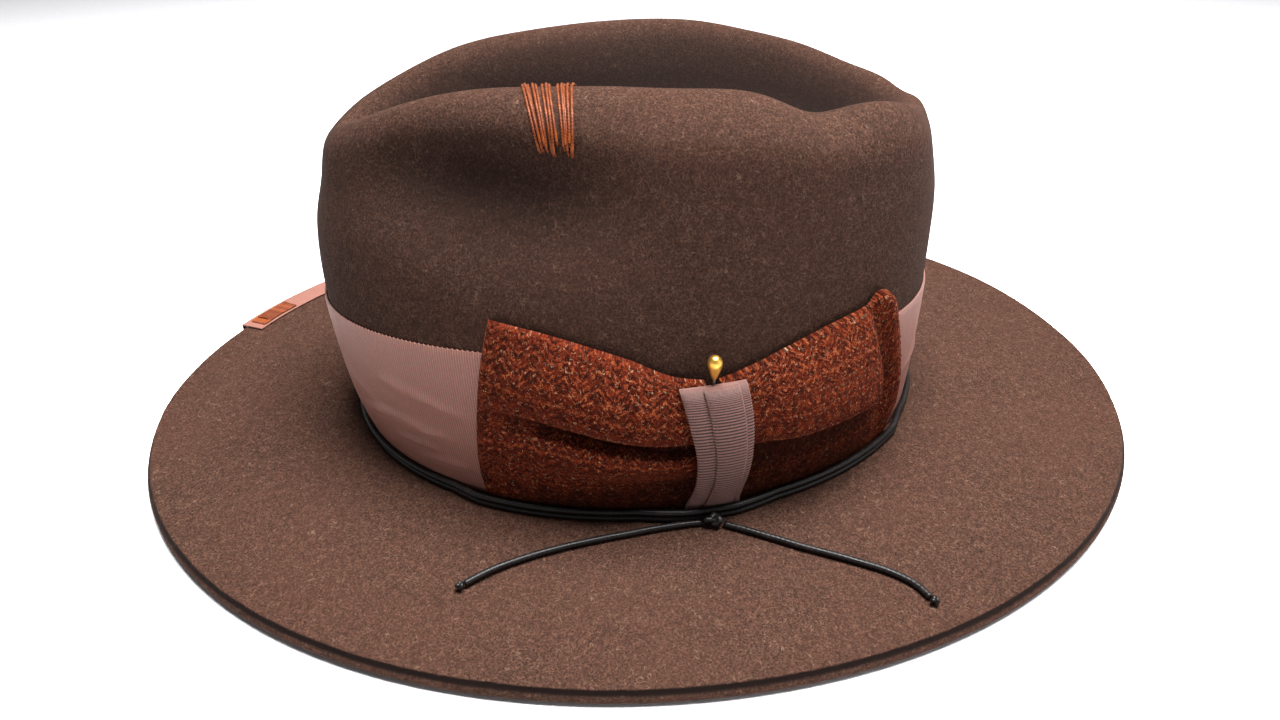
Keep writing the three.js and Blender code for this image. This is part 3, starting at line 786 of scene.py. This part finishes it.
REAR_WING = {
    "foot": 47.5, "top": 38.2, "lean": 2.2, "waist": 4.4,
    "reaches": (0, 0.085, 0.15, 0.21, 0.45, 0.68, 0.87, 1),
    "tops": (69.8, 70.6, 67.6, 66.8, 64.8, 61.0, 57.0, 54.5),
    "sections": [
        [(0, 2.4), (0.10, 2.8), (0.2, 3.9), (0.3, 4.4), (0.4, 4.5), (0.48, 4.5), (0.56, 4.4), (0.66, 4.2),
         (0.8, 4.4), (0.92, 4.8), (0.98, 4.6), (1, 2.8)],
        [(0, 2.4), (0.10, 2.9), (0.2, 4.6), (0.3, 5.6), (0.4, 5.9), (0.48, 6.0), (0.56, 5.9), (0.66, 5.8),
         (0.8, 5.8), (0.92, 6.2), (0.98, 5.6), (1, 3.0)],
        [(0, 2.4), (0.10, 2.6), (0.2, 3.0), (0.3, 3.0), (0.38, 3.0), (0.42, 3.0), (0.46, 3.0), (0.54, 3.0),
         (0.7, 3.0), (0.86, 3.1), (0.96, 3.0), (1, 2.3)],
        [(0, 2.4), (0.10, 2.6), (0.2, 3.2), (0.3, 2.6), (0.37, 2.2), (0.39, 3.4), (0.42, 6.0), (0.54, 6.8),
         (0.7, 6.4), (0.86, 5.4), (0.96, 4.2), (1, 2.5)],
        [(0, 2.4), (0.10, 2.6), (0.2, 3.2), (0.3, 2.4), (0.41, 1.8), (0.425, 4.8), (0.46, 8.4), (0.58, 9.4),
         (0.73, 8.4), (0.87, 6.6), (0.97, 4.5), (1, 2.7)],
        [(0, 2.4), (0.10, 2.6), (0.2, 3.0), (0.3, 2.4), (0.46, 1.6), (0.47, 5.2), (0.5, 9.2), (0.62, 10.4),
         (0.77, 9.2), (0.89, 7.2), (0.97, 4.9), (1, 2.9)],
        [(0, 2.3), (0.10, 2.5), (0.2, 2.8), (0.33, 2.2), (0.5, 1.6), (0.51, 4.4), (0.54, 7.0), (0.66, 7.6),
         (0.8, 7.0), (0.92, 5.8), (0.98, 4.4), (1, 2.9)],
        [(0, 2.3), (0.10, 2.5), (0.2, 2.8), (0.33, 2.2), (0.5, 1.6), (0.51, 3.8), (0.54, 5.8), (0.66, 6.4),
         (0.8, 6.0), (0.92, 5.4), (0.98, 4.2), (1, 2.9)],
    ],
}


def wing_piece(name, wing, look):
    u = np.linspace(0, 1, 150) ** 1.25
    v = np.linspace(0, 1, 170)
    where = np.interp(u, wing["reaches"], np.arange(len(wing["reaches"])))
    sections = along(wing["sections"], where)
    points = sections.shape[1] - 1
    folds = along(np.swapaxes(sections, 0, 1), v * points)
    share, stand = folds[..., 0], folds[..., 1]
    rounding = np.sqrt(1 - (1 - np.clip(u / END_ROUND, 0, 1)) ** 2)
    stand = BOW_BACK + (stand - BOW_BACK) * rounding
    back_share = lerp(share[:, :1], v[:, None], smoothstep(0.02, 0.2, u)[None])
    top = along(wing["tops"], where)

    def grid(heights, offsets):
        outer = lerp(wing["foot"], wing["top"], np.clip(heights, 0, 1) ** wing["lean"])
        angle = np.radians(lerp(outer, wing["waist"], u[None]))
        return beside_wall(angle, lerp(BOW_FOOT, top[None], heights), offsets)

    face = grid(share, stand)
    back = grid(back_share, np.full_like(share, BOW_BACK))
    away = unit(face - back + 1e-9)
    face = face + away * (0.13 * ripple(face, 1.9, 21) * rounding[None])[..., None]
    width = np.cumsum(np.linalg.norm(np.diff(face[:, [75]], axis=0, prepend=face[:1, [75]]), axis=-1), axis=0)
    length = np.cumsum(np.linalg.norm(np.diff(face[[85]], axis=1, prepend=face[[85], :1]), axis=-1), axis=1)
    # Painted shade where the cloth lies close to the wall, in the folds under the lobes.
    fold_shade = 0.8 * smoothstep(4.6, 2.0, stand) * smoothstep(0.1, 0.3, u)[None] * smoothstep(0.95, 0.85, share)
    return slab(name, face, back, look, cloth=layout(length, width, fold_shade))


# ---- Knot ribbon --------------------------------------------------------------------------------

KNOT_RIB = 0.84
KNOT_TOP = 55
# The knot's two edges up its height: share of the height, and degrees.
KNOT_EDGES = [(0, -0.9, 8.9), (0.25, 0.2, 8.7), (0.5, 0.3, 9.1), (0.75, -0.8, 8.9), (1, -2.2, 7.9)]
# Three turns of the ribbon: shares of the knot's width, and the layer each lies in.
KNOT_STRIPS = [("left", 0, 0.46, 0), ("right", 0.5, 1, 0), ("middle", 0.33, 0.86, 1)]
# How far the ribbon stands off the wall, up the knot: share of the height, and distance.
KNOT_SECTION = [
    (0, 2.9), (0.07, 3.1), (0.18, 5.2), (0.32, 7.6), (0.48, 8.5), (0.64, 8.6), (0.8, 8.3), (0.92, 7.6),
    (0.98, 6.8), (1.0, 5.6),
]


def knot_pieces(look):
    strips = []
    steps = int(KNOT_TOP / KNOT_RIB) * 6
    section = along(KNOT_SECTION, np.linspace(0, len(KNOT_SECTION) - 1, steps))
    v, stand = section[:, :1], section[:, 1:]
    crest = 0.5 + 0.5 * np.cos(np.arange(steps) * np.pi / 3)[:, None]
    edges = along(KNOT_EDGES, v[:, 0] * (len(KNOT_EDGES) - 1))
    for name, start, end, layer in KNOT_STRIPS:
        u = np.linspace(0, 1, 30)[None]
        angle = np.radians(lerp(edges[:, 1:2], edges[:, 2:3], lerp(start, end, u)))
        height = lerp(BOW_FOOT + 0.3, KNOT_TOP + 0.8 * lerp(start, end, u), v)
        rim = 1 - (np.abs(2 * u - 1)) ** 10
        picot = 0.34 * (crest - 0.5) * (1 - rim) * (2 * u - 1) / 97
        bow_out = 0.3 * (1 - (2 * u - 1) ** 2)
        inner = stand + 0.95 * layer
        outer = inner + 0.42 + (0.3 * crest + bow_out) * rim
        face = beside_wall(angle + picot, height, outer)
        back = beside_wall(angle + picot, height, inner + 0 * u)
        cloth = layout(v * KNOT_TOP, u * 10, crest)
        strips.append(slab("knot_ribbon_" + name, face, back, look, cloth=cloth))
    return strips


# ---- Pin ----------------------------------------------------------------------------------------

PIN_X, PIN_Y = 92.7, 5.8
PIN_HEAD_BASE = 56.6
PIN_LENGTH = 40
# The pin's head and shank from foot to top: radius and height.
PIN_PROFILE = [
    (0, 0), (0.4, 0.02), (0.62, 0.2), (0.75, 0.55), (1.0, 1.2), (1.4, 2.3), (1.82, 3.6), (2.14, 4.9),
    (2.18, 5.9), (1.92, 6.8), (1.4, 7.5), (0.72, 7.9), (0, 8),
]
SHANK_PROFILE = [
    (0, 0), (0.12, 0.6), (0.3, 3), (0.4, 8), (0.4, 20), (0.4, PIN_LENGTH - 0.3), (0.3, PIN_LENGTH),
    (0, PIN_LENGTH),
]


def turned(name, profile, place, look, sides=64):
    """A piece turned on a lathe from a smooth profile of radius and height."""
    outline = along(profile, np.linspace(0, len(profile) - 1, 90))
    turn = full_turn(sides)
    radius = np.abs(outline[:, 0])[:, None]
    radius[[0, -1]] = 0
    x, y, z = place
    ring = x + radius * np.cos(turn), y + radius * np.sin(turn), z + outline[:, 1][:, None]
    return skin(name, np.stack(np.broadcast_arrays(*ring), -1), look)


def pin_pieces(brass, steel):
    head = turned("pin_bead", PIN_PROFILE, (PIN_X, PIN_Y, PIN_HEAD_BASE), brass)
    tip = (PIN_X, PIN_Y, PIN_HEAD_BASE - GAP - PIN_LENGTH)
    shank = turned("pin_needle", SHANK_PROFILE, tip, steel, 24)
    return head, shank


# ---- Cord ---------------------------------------------------------------------------------------

CORD_REST = BRIM_FELT + GAP + CORD_RADIUS
BRAID_PITCH = 3.2
BRAID_RELIEF = 0.07
FRONT_TAIL = [
    (96.5, 3.2, 5.6), (96.3, -1.5, 5.6), (96.4, -6, 5.6), (96.6, -11, 5.6), (97, -16.5, 5.6),
    (97.6, -22, 5.6), (98.1, -28, 5.6), (98.8, -34, 5.6), (99.6, -40, 5.6), (100.6, -45.5, 5.6),
    (101.8, -51, 5.6), (103.2, -56, 5.6), (105.1, -61.5, 5.7), (107.5, -66.5, 5.8), (110.4, -71.5, 5.9),
]
REAR_TAIL = [
    (98.2, 9.3, 5.6), (99.5, 11.5, 5.6), (101.6, 14.9, 5.6), (104, 18.5, 5.6), (107.7, 24, 5.6),
    (111.5, 29.5, 5.6), (115, 35, 5.6), (118.5, 40.5, 5.7), (121.8, 45.4, 5.7), (125, 50, 5.8),
    (128.2, 53.7, 5.8), (131.5, 56.6, 5.9), (134.1, 58.1, 6.0), (136.6, 59, 6.1), (139.2, 59.6, 6.2),
]
FRONT_END = (111.3, -73.2, 6.2)
REAR_END = (141.3, 60.4, 6.8)
KNOT_PLACE = (97.4, 6.4, 6.9)
END_KNOT_PULL = 0.4               # share of the way from a tail's end back to its last drawn point


def cord_offset(angle):
    degrees = np.degrees(np.arctan2(np.sin(angle), np.cos(angle)))
    over_bow = np.clip((degrees + 43) / 6, 0, 1) * np.clip((55 - degrees) / 6, 0, 1)
    over_knot = np.clip((degrees + 9) / 8, 0, 1) * np.clip((16 - degrees) / 8, 0, 1)
    return BAND_FACE + GAP + CORD_RADIUS + 1.8 * over_bow + 2.1 * over_knot


def cord_turn(name, layer, look):
    steps, sides = 1500, 20
    angle, girth = even_angles(steps)
    run = np.linspace(0, girth, steps, endpoint=False)[:, None]
    pitch = girth / round(girth / BRAID_PITCH)
    turn = full_turn(sides)[None]
    swell = braid(turn, run, pitch, BRAID_RELIEF)
    height = CORD_REST + layer * (2 * CORD_RADIUS + GAP)
    centre = beside_wall(angle, height, cord_offset(angle))
    outward = unit(beside_wall(angle, height, cord_offset(angle) + 1) - centre)
    reach = (CORD_RADIUS * swell)[..., None]
    rows = centre[:, None] + outward[:, None] * np.cos(turn)[..., None] * reach
    rows[..., 2:] += np.sin(turn)[..., None] * reach
    cloth = layout(turn * CORD_RADIUS, run, (swell - 1 + BRAID_RELIEF) / (2 * BRAID_RELIEF))
    return skin(name, rows, look, loop=True, cloth=cloth)


def cord_tail(name, points, end_place, look):
    route = spaced(np.array(points, float), 0.35)
    rows, cloth = rope(route, TAIL_RADIUS, 20, BRAID_PITCH, BRAID_RELIEF)
    tail = skin(name, rows, look, cloth=cloth)
    tight_place = lerp(np.array(end_place), np.array(points[-1]), END_KNOT_PULL)
    end = overhand_knot(name + "_end", tight_place, 0.9, 0.62, look)
    return tail, end, route


def overhand_knot(name, place, size, strand, look, stretch=(1, 1, 1)):
    """A tight trefoil knot of one closed strand."""
    t = np.linspace(0, 2 * np.pi, 160)
    path = np.stack([
        (np.sin(t) + 1.5 * np.sin(2 * t)) / 2.5,
        (np.cos(t) - 1.5 * np.cos(2 * t)) / 2.5,
        -np.sin(3 * t) * 0.42,
    ], 1)
    path = np.array(place) + path * size * np.array(stretch)
    rows, cloth = rope(path, strand, 14, 2.4, 0.08, taper=False)
    return skin(name, rows[:-1], look, loop=True, cloth=cloth[:-1])


# ---- Stitches and binding -----------------------------------------------------------------------

RIDGE_STITCHES = [
    ("ridge_stitch_front", -26.0, -20.3, 2.9, 5), ("ridge_stitch_middle", -22.1, -18.6, 1.4, 3),
    ("ridge_stitch_rear", -18.1, -16.6, 3.2, 6),
]
THREAD = 0.38
# The binding runs between two angles in degrees and covers a share of the brim's width.
BINDING = {"from": -111, "to": -150, "cover": 0.12}


def threads(name, paths, radius, look):
    """Many twisted threads in one mesh."""
    points, faces, cloths, count = [], [], [], 0
    for path in paths:
        rows, cloth = rope(path, radius, 10, 1.6, 0.12)
        index = np.arange(rows.shape[0] * rows.shape[1]).reshape(rows.shape[:2]) + count
        count += index.size
        points.append(rows.reshape(-1, 3))
        cloths.append(cloth.reshape(-1, 3))
        faces.append(grid_faces(index, wrap=True))
    return add_piece(name, np.concatenate(points), np.concatenate(faces), look, np.concatenate(cloths))


def ridge_stitch(name, top, foot, spread, count, look):
    random = np.random.default_rng(count + int(abs(top)))
    v = np.linspace(0, 1, 90)
    paths = []
    for k in range(count):
        side = (k / (count - 1) - 0.5) + random.uniform(-0.06, 0.06)
        width = spread * lerp(0.35, 1, v**0.8) * side
        low = 4.7 + random.uniform(-0.12, 0.12)
        high = RIDGE + 0.9 + random.uniform(-0.1, 0.1)
        bow = 0.5 * math.sin(k * 2.1) * np.sin(np.pi * v)
        angle = np.radians(lerp(foot, top, v) + width + bow * 0.3)
        dive = smoothstep(0, 0.05, v) * smoothstep(1, 0.95, v)
        offset = lerp(-0.5, THREAD + 0.12 + 0.3 * (k % 2), dive)
        paths.append(on_crown(angle, lerp(low, high, v), offset))
    return threads("thread_" + name, paths, THREAD, look)


def over_edge(angle, share, offset):
    """Share 0 is the ribbon's edge under the brim and share 1 its edge on top; it turns down between."""
    turn = 5 / 12
    angle, share, offset = np.broadcast_arrays(*(np.asarray(x, float) for x in (angle, share, offset)))
    inset = BINDING["cover"] * np.clip(np.maximum(turn - share, share + turn - 1) / turn, 0, 1)
    up = np.clip((share - turn) / (1 - 2 * turn), 0, 1)
    point = brim_point(angle, 1 - inset, lerp(-offset, BRIM_FELT + offset, up))
    bulge = offset * np.where(inset > 0, np.exp(-inset / 0.01), 1)
    return point + brim_outward(angle) * bulge[..., None]


def binding_piece(look):
    u = np.linspace(0, 1, 620)[None]
    spans = np.linspace(0, 0.40, 12), np.linspace(0.42, 0.58, 13), np.linspace(0.6, 1, 16)
    v = np.concatenate(spans)[:, None]
    crest = 0.5 + 0.5 * np.cos(np.arange(620) * np.pi / 2)[None]
    angle = np.radians(lerp(BINDING["from"], BINDING["to"], u))
    inner = GAP + 0.15
    rim = 1 - np.abs(2 * v - 1) ** 10
    face = over_edge(angle, v, inner + 0.3 + (0.1 * crest + 0.1) * rim)
    back = over_edge(angle, v, inner + 0 * crest)
    return slab("binding", face, back, look, cloth=layout(u * 118, v * 22, crest))


def binding_stitch_piece(look):
    paths = []
    for share in np.linspace(0.66, 0.95, 13):
        u = np.linspace(0, 1, 120)
        angle = np.radians(lerp(BINDING["from"] - 1, BINDING["from"] - 8, u))
        dive = smoothstep(0, 0.03, u) * smoothstep(1, 0.97, u)
        paths.append(over_edge(angle, share + 0.004 * np.sin(u * 9 + share * 40), lerp(0.2, 1.3, dive)))
    across = np.linspace(0.6, 0.98, 50)
    dive = smoothstep(0, 0.1, across - 0.6) * smoothstep(0, 0.1, 0.98 - across)
    paths.append(over_edge(np.radians(BINDING["from"] - 2.4 + 0 * across), across, lerp(0.3, 1.9, dive)))
    return threads("thread_binding_stitch", paths, 0.3, look)


# ---- Inside -------------------------------------------------------------------------------------

LINING_FACE = -(CROWN_FELT + 2 * GAP)
SWEATBAND_FACE = LINING_FACE - LINING - GAP
LINING_SEAM = 4.65


def lining_piece(name, levels, look, closed_top):
    """The lining is gathered in soft pleats towards its seam."""
    angle = full_turn(420)[None]
    levels = levels[:, None]
    puff = 0.12 * (1 + np.sin(angle * 60 + 1.5 * np.sin(levels * 3))) * smoothstep(2.2, 4.2, levels)
    puff = puff * smoothstep(8.5, 6, levels)
    face = on_crown(angle, levels, LINING_FACE - 0.05 + 0 * puff)
    back = on_crown(angle, levels, LINING_FACE - LINING + 0.1 - puff)
    if closed_top:
        return skin(name, np.concatenate([face[::-1], back]), look)
    return skin(name, np.concatenate([face, back[::-1]]), look, loop=True)


def sweatband_piece(look):
    angle = full_turn(420)[None]
    levels = np.concatenate([[0.02, 0.03], np.linspace(0.05, 1.55, 44), [1.58, 1.6]])[:, None]
    bead = 0.35 * np.exp(-(((levels - 0.16) / 0.05) ** 2))
    groove = 0.3 * np.exp(-(((levels - 0.26) / 0.02) ** 2))
    relax = 0.12 * np.sin(angle * 5 + 1) * smoothstep(0.4, 1.4, levels)
    face = on_crown(angle, levels, SWEATBAND_FACE - 0.15 + relax)
    back = on_crown(angle, levels, SWEATBAND_FACE - LEATHER - bead + groove + relax)
    return skin("sweatband_leather", np.concatenate([face, back[::-1]]), look, loop=True)


def reed_piece(look):
    angle, girth = even_angles(700)
    centre = beside_wall(angle, BRIM_FELT - GAP - 1.1, SWEATBAND_FACE - LEATHER / 2)
    outward = unit(beside_wall(angle, BRIM_FELT - GAP - 1.1, SWEATBAND_FACE) - centre)
    turn = full_turn(14)[None]
    radius = 0.95 + 0.04 * np.sin(np.linspace(0, 2 * np.pi * 90, 700, endpoint=False))[:, None]
    rows = centre[:, None] + outward[:, None] * (np.cos(turn) * radius)[..., None]
    rows[..., 2] += np.sin(turn) * radius
    return skin("reed_hoop", rows, look, loop=True)


def sweatband_bow_piece(look):
    u = np.linspace(0, 1, 90)[None]
    v = np.linspace(0, 1, 40)[:, None]
    waist = 0.42 + 0.58 * np.abs(2 * u - 1) ** 0.8
    height = 27 + (v - 0.5) * 11 * waist
    crest = 0.5 + 0.5 * np.cos(u * 2 * np.pi * 20)
    knot = np.exp(-(((u - 0.5) / 0.07) ** 4))
    edge = 1 - np.abs(2 * v - 1) ** 8
    inner = SWEATBAND_FACE - LEATHER - 2 * GAP
    angle = np.radians(lerp(84, 96, u))
    depth = 0.35 + (0.45 * np.sin(np.pi * u * 2) ** 2 + 0.12 * crest + 0.8 * knot) * edge
    face = beside_wall(angle, height, inner - depth)
    back = beside_wall(angle, height, inner + 0 * depth)
    return slab("sweatband_ribbon_bow", face, back, look, cloth=layout(u * 17, v * 11, crest))


# ---- The hat ------------------------------------------------------------------------------------


def build_felt_and_band(looks):
    declare(felt_piece(looks["felt"]), "felt_body")
    band, girth = hatband_piece(looks["grosgrain"])
    declare(band, "hatband_ribbon")


def build_bow(looks):
    for side, wing in (("front", FRONT_WING), ("rear", REAR_WING)):
        piece = declare(wing_piece(f"tweed_{side}_wing", wing, looks["tweed"]), f"bow_{side}_wing")
    for strip in knot_pieces(looks["coarse_grosgrain"]):
        declare(strip, "bow_knot_ribbon")
    head, shank = pin_pieces(looks["brass"], looks["steel"])
    declare(head, "pin_head", "hat_pin")
    declare(shank, "pin_shank", "hat_pin")


def build_cord(looks):
    cord = looks["waxed_cord"]
    declare(cord_turn("cord_turn_lower", 0, cord), "cord_lower_turn")
    declare(cord_turn("cord_turn_upper", 1, cord), "cord_upper_turn")
    knot = overhand_knot("cord_knot_tied", KNOT_PLACE, 2.15, 1.05, cord, (0.7, 1.25, 0.9))
    declare(knot, "cord_knot")
    for side, points, end_place in (("front", FRONT_TAIL, FRONT_END), ("rear", REAR_TAIL, REAR_END)):
        tail, end, route = cord_tail(f"tail_{side}", points, end_place, cord)
        declare(tail, f"cord_tail_{side}")
        declare(end, f"cord_{side}_end_knot")


def build_stitching(looks):
    for name, top, foot, spread, count in RIDGE_STITCHES:
        declare(ridge_stitch(name, top, foot, spread, count, looks["thread"]), name)
    binding = declare(binding_piece(looks["grosgrain"]), "brim_binding")
    declare(binding_stitch_piece(looks["thread"]), "binding_stitch")


def build_inside(looks):
    side = lining_piece("satin_lining_side", np.linspace(0.6, LINING_SEAM, 60), looks["satin"], False)
    declare(side, "lining_side")
    tip_levels = np.linspace(LINING_SEAM + 0.08, CREASE, 90)
    tip = declare(lining_piece("satin_lining_tip", tip_levels, looks["satin"], True), "lining_tip")
    leather = declare(sweatband_piece(looks["leather"]), "sweatband")
    declare(reed_piece(looks["reed"]), "sweatband_reed")
    bow = declare(sweatband_bow_piece(looks["grosgrain"]), "sweatband_bow")


FLOOR_RADIUS, FLOOR_HEIGHT = 1.5, -0.0003    # metres


def add_floor():
    sides = 96
    turns = [2 * math.pi * k / sides for k in range(sides)]
    mesh = bpy.data.meshes.new("pale_floor")
    rim = [(FLOOR_RADIUS * math.cos(turn), FLOOR_RADIUS * math.sin(turn), FLOOR_HEIGHT) for turn in turns]
    mesh.from_pydata(rim, [], [tuple(range(sides))])
    mesh.materials.append(floor_look())
    floor = bpy.data.objects.new("pale_floor", mesh)
    bpy.context.scene.collection.objects.link(floor)


add_camera()
looks = {
    "felt": felt_look(),
    # The last colour and number of each grosgrain are its painted shade in the rib valleys.
    "grosgrain": grosgrain_look("grosgrain", "#99695c", "#795146", "#43261f", 0.6),
    "coarse_grosgrain": grosgrain_look("coarse_grosgrain", "#866159", "#63433c", "#120a08", 0.95),
    "tweed": tweed_look(),
    "waxed_cord": waxed_cord_look(),
    "brass": metal_look("brass", "#e3b257", "#b98630", 0.34, 0.46),
    "steel": metal_look("steel", "#9a9691", "#5e5a56", 0.3, 0.45),
    "thread": thread_look(),
    "leather": leather_look(),
    "satin": satin_look(),
    "reed": reed_look(),
}
build_cord(looks)
build_felt_and_band(looks)
build_bow(looks)
build_stitching(looks)
build_inside(looks)
add_floor()
light_scene()

bpy.context.view_layer.update()
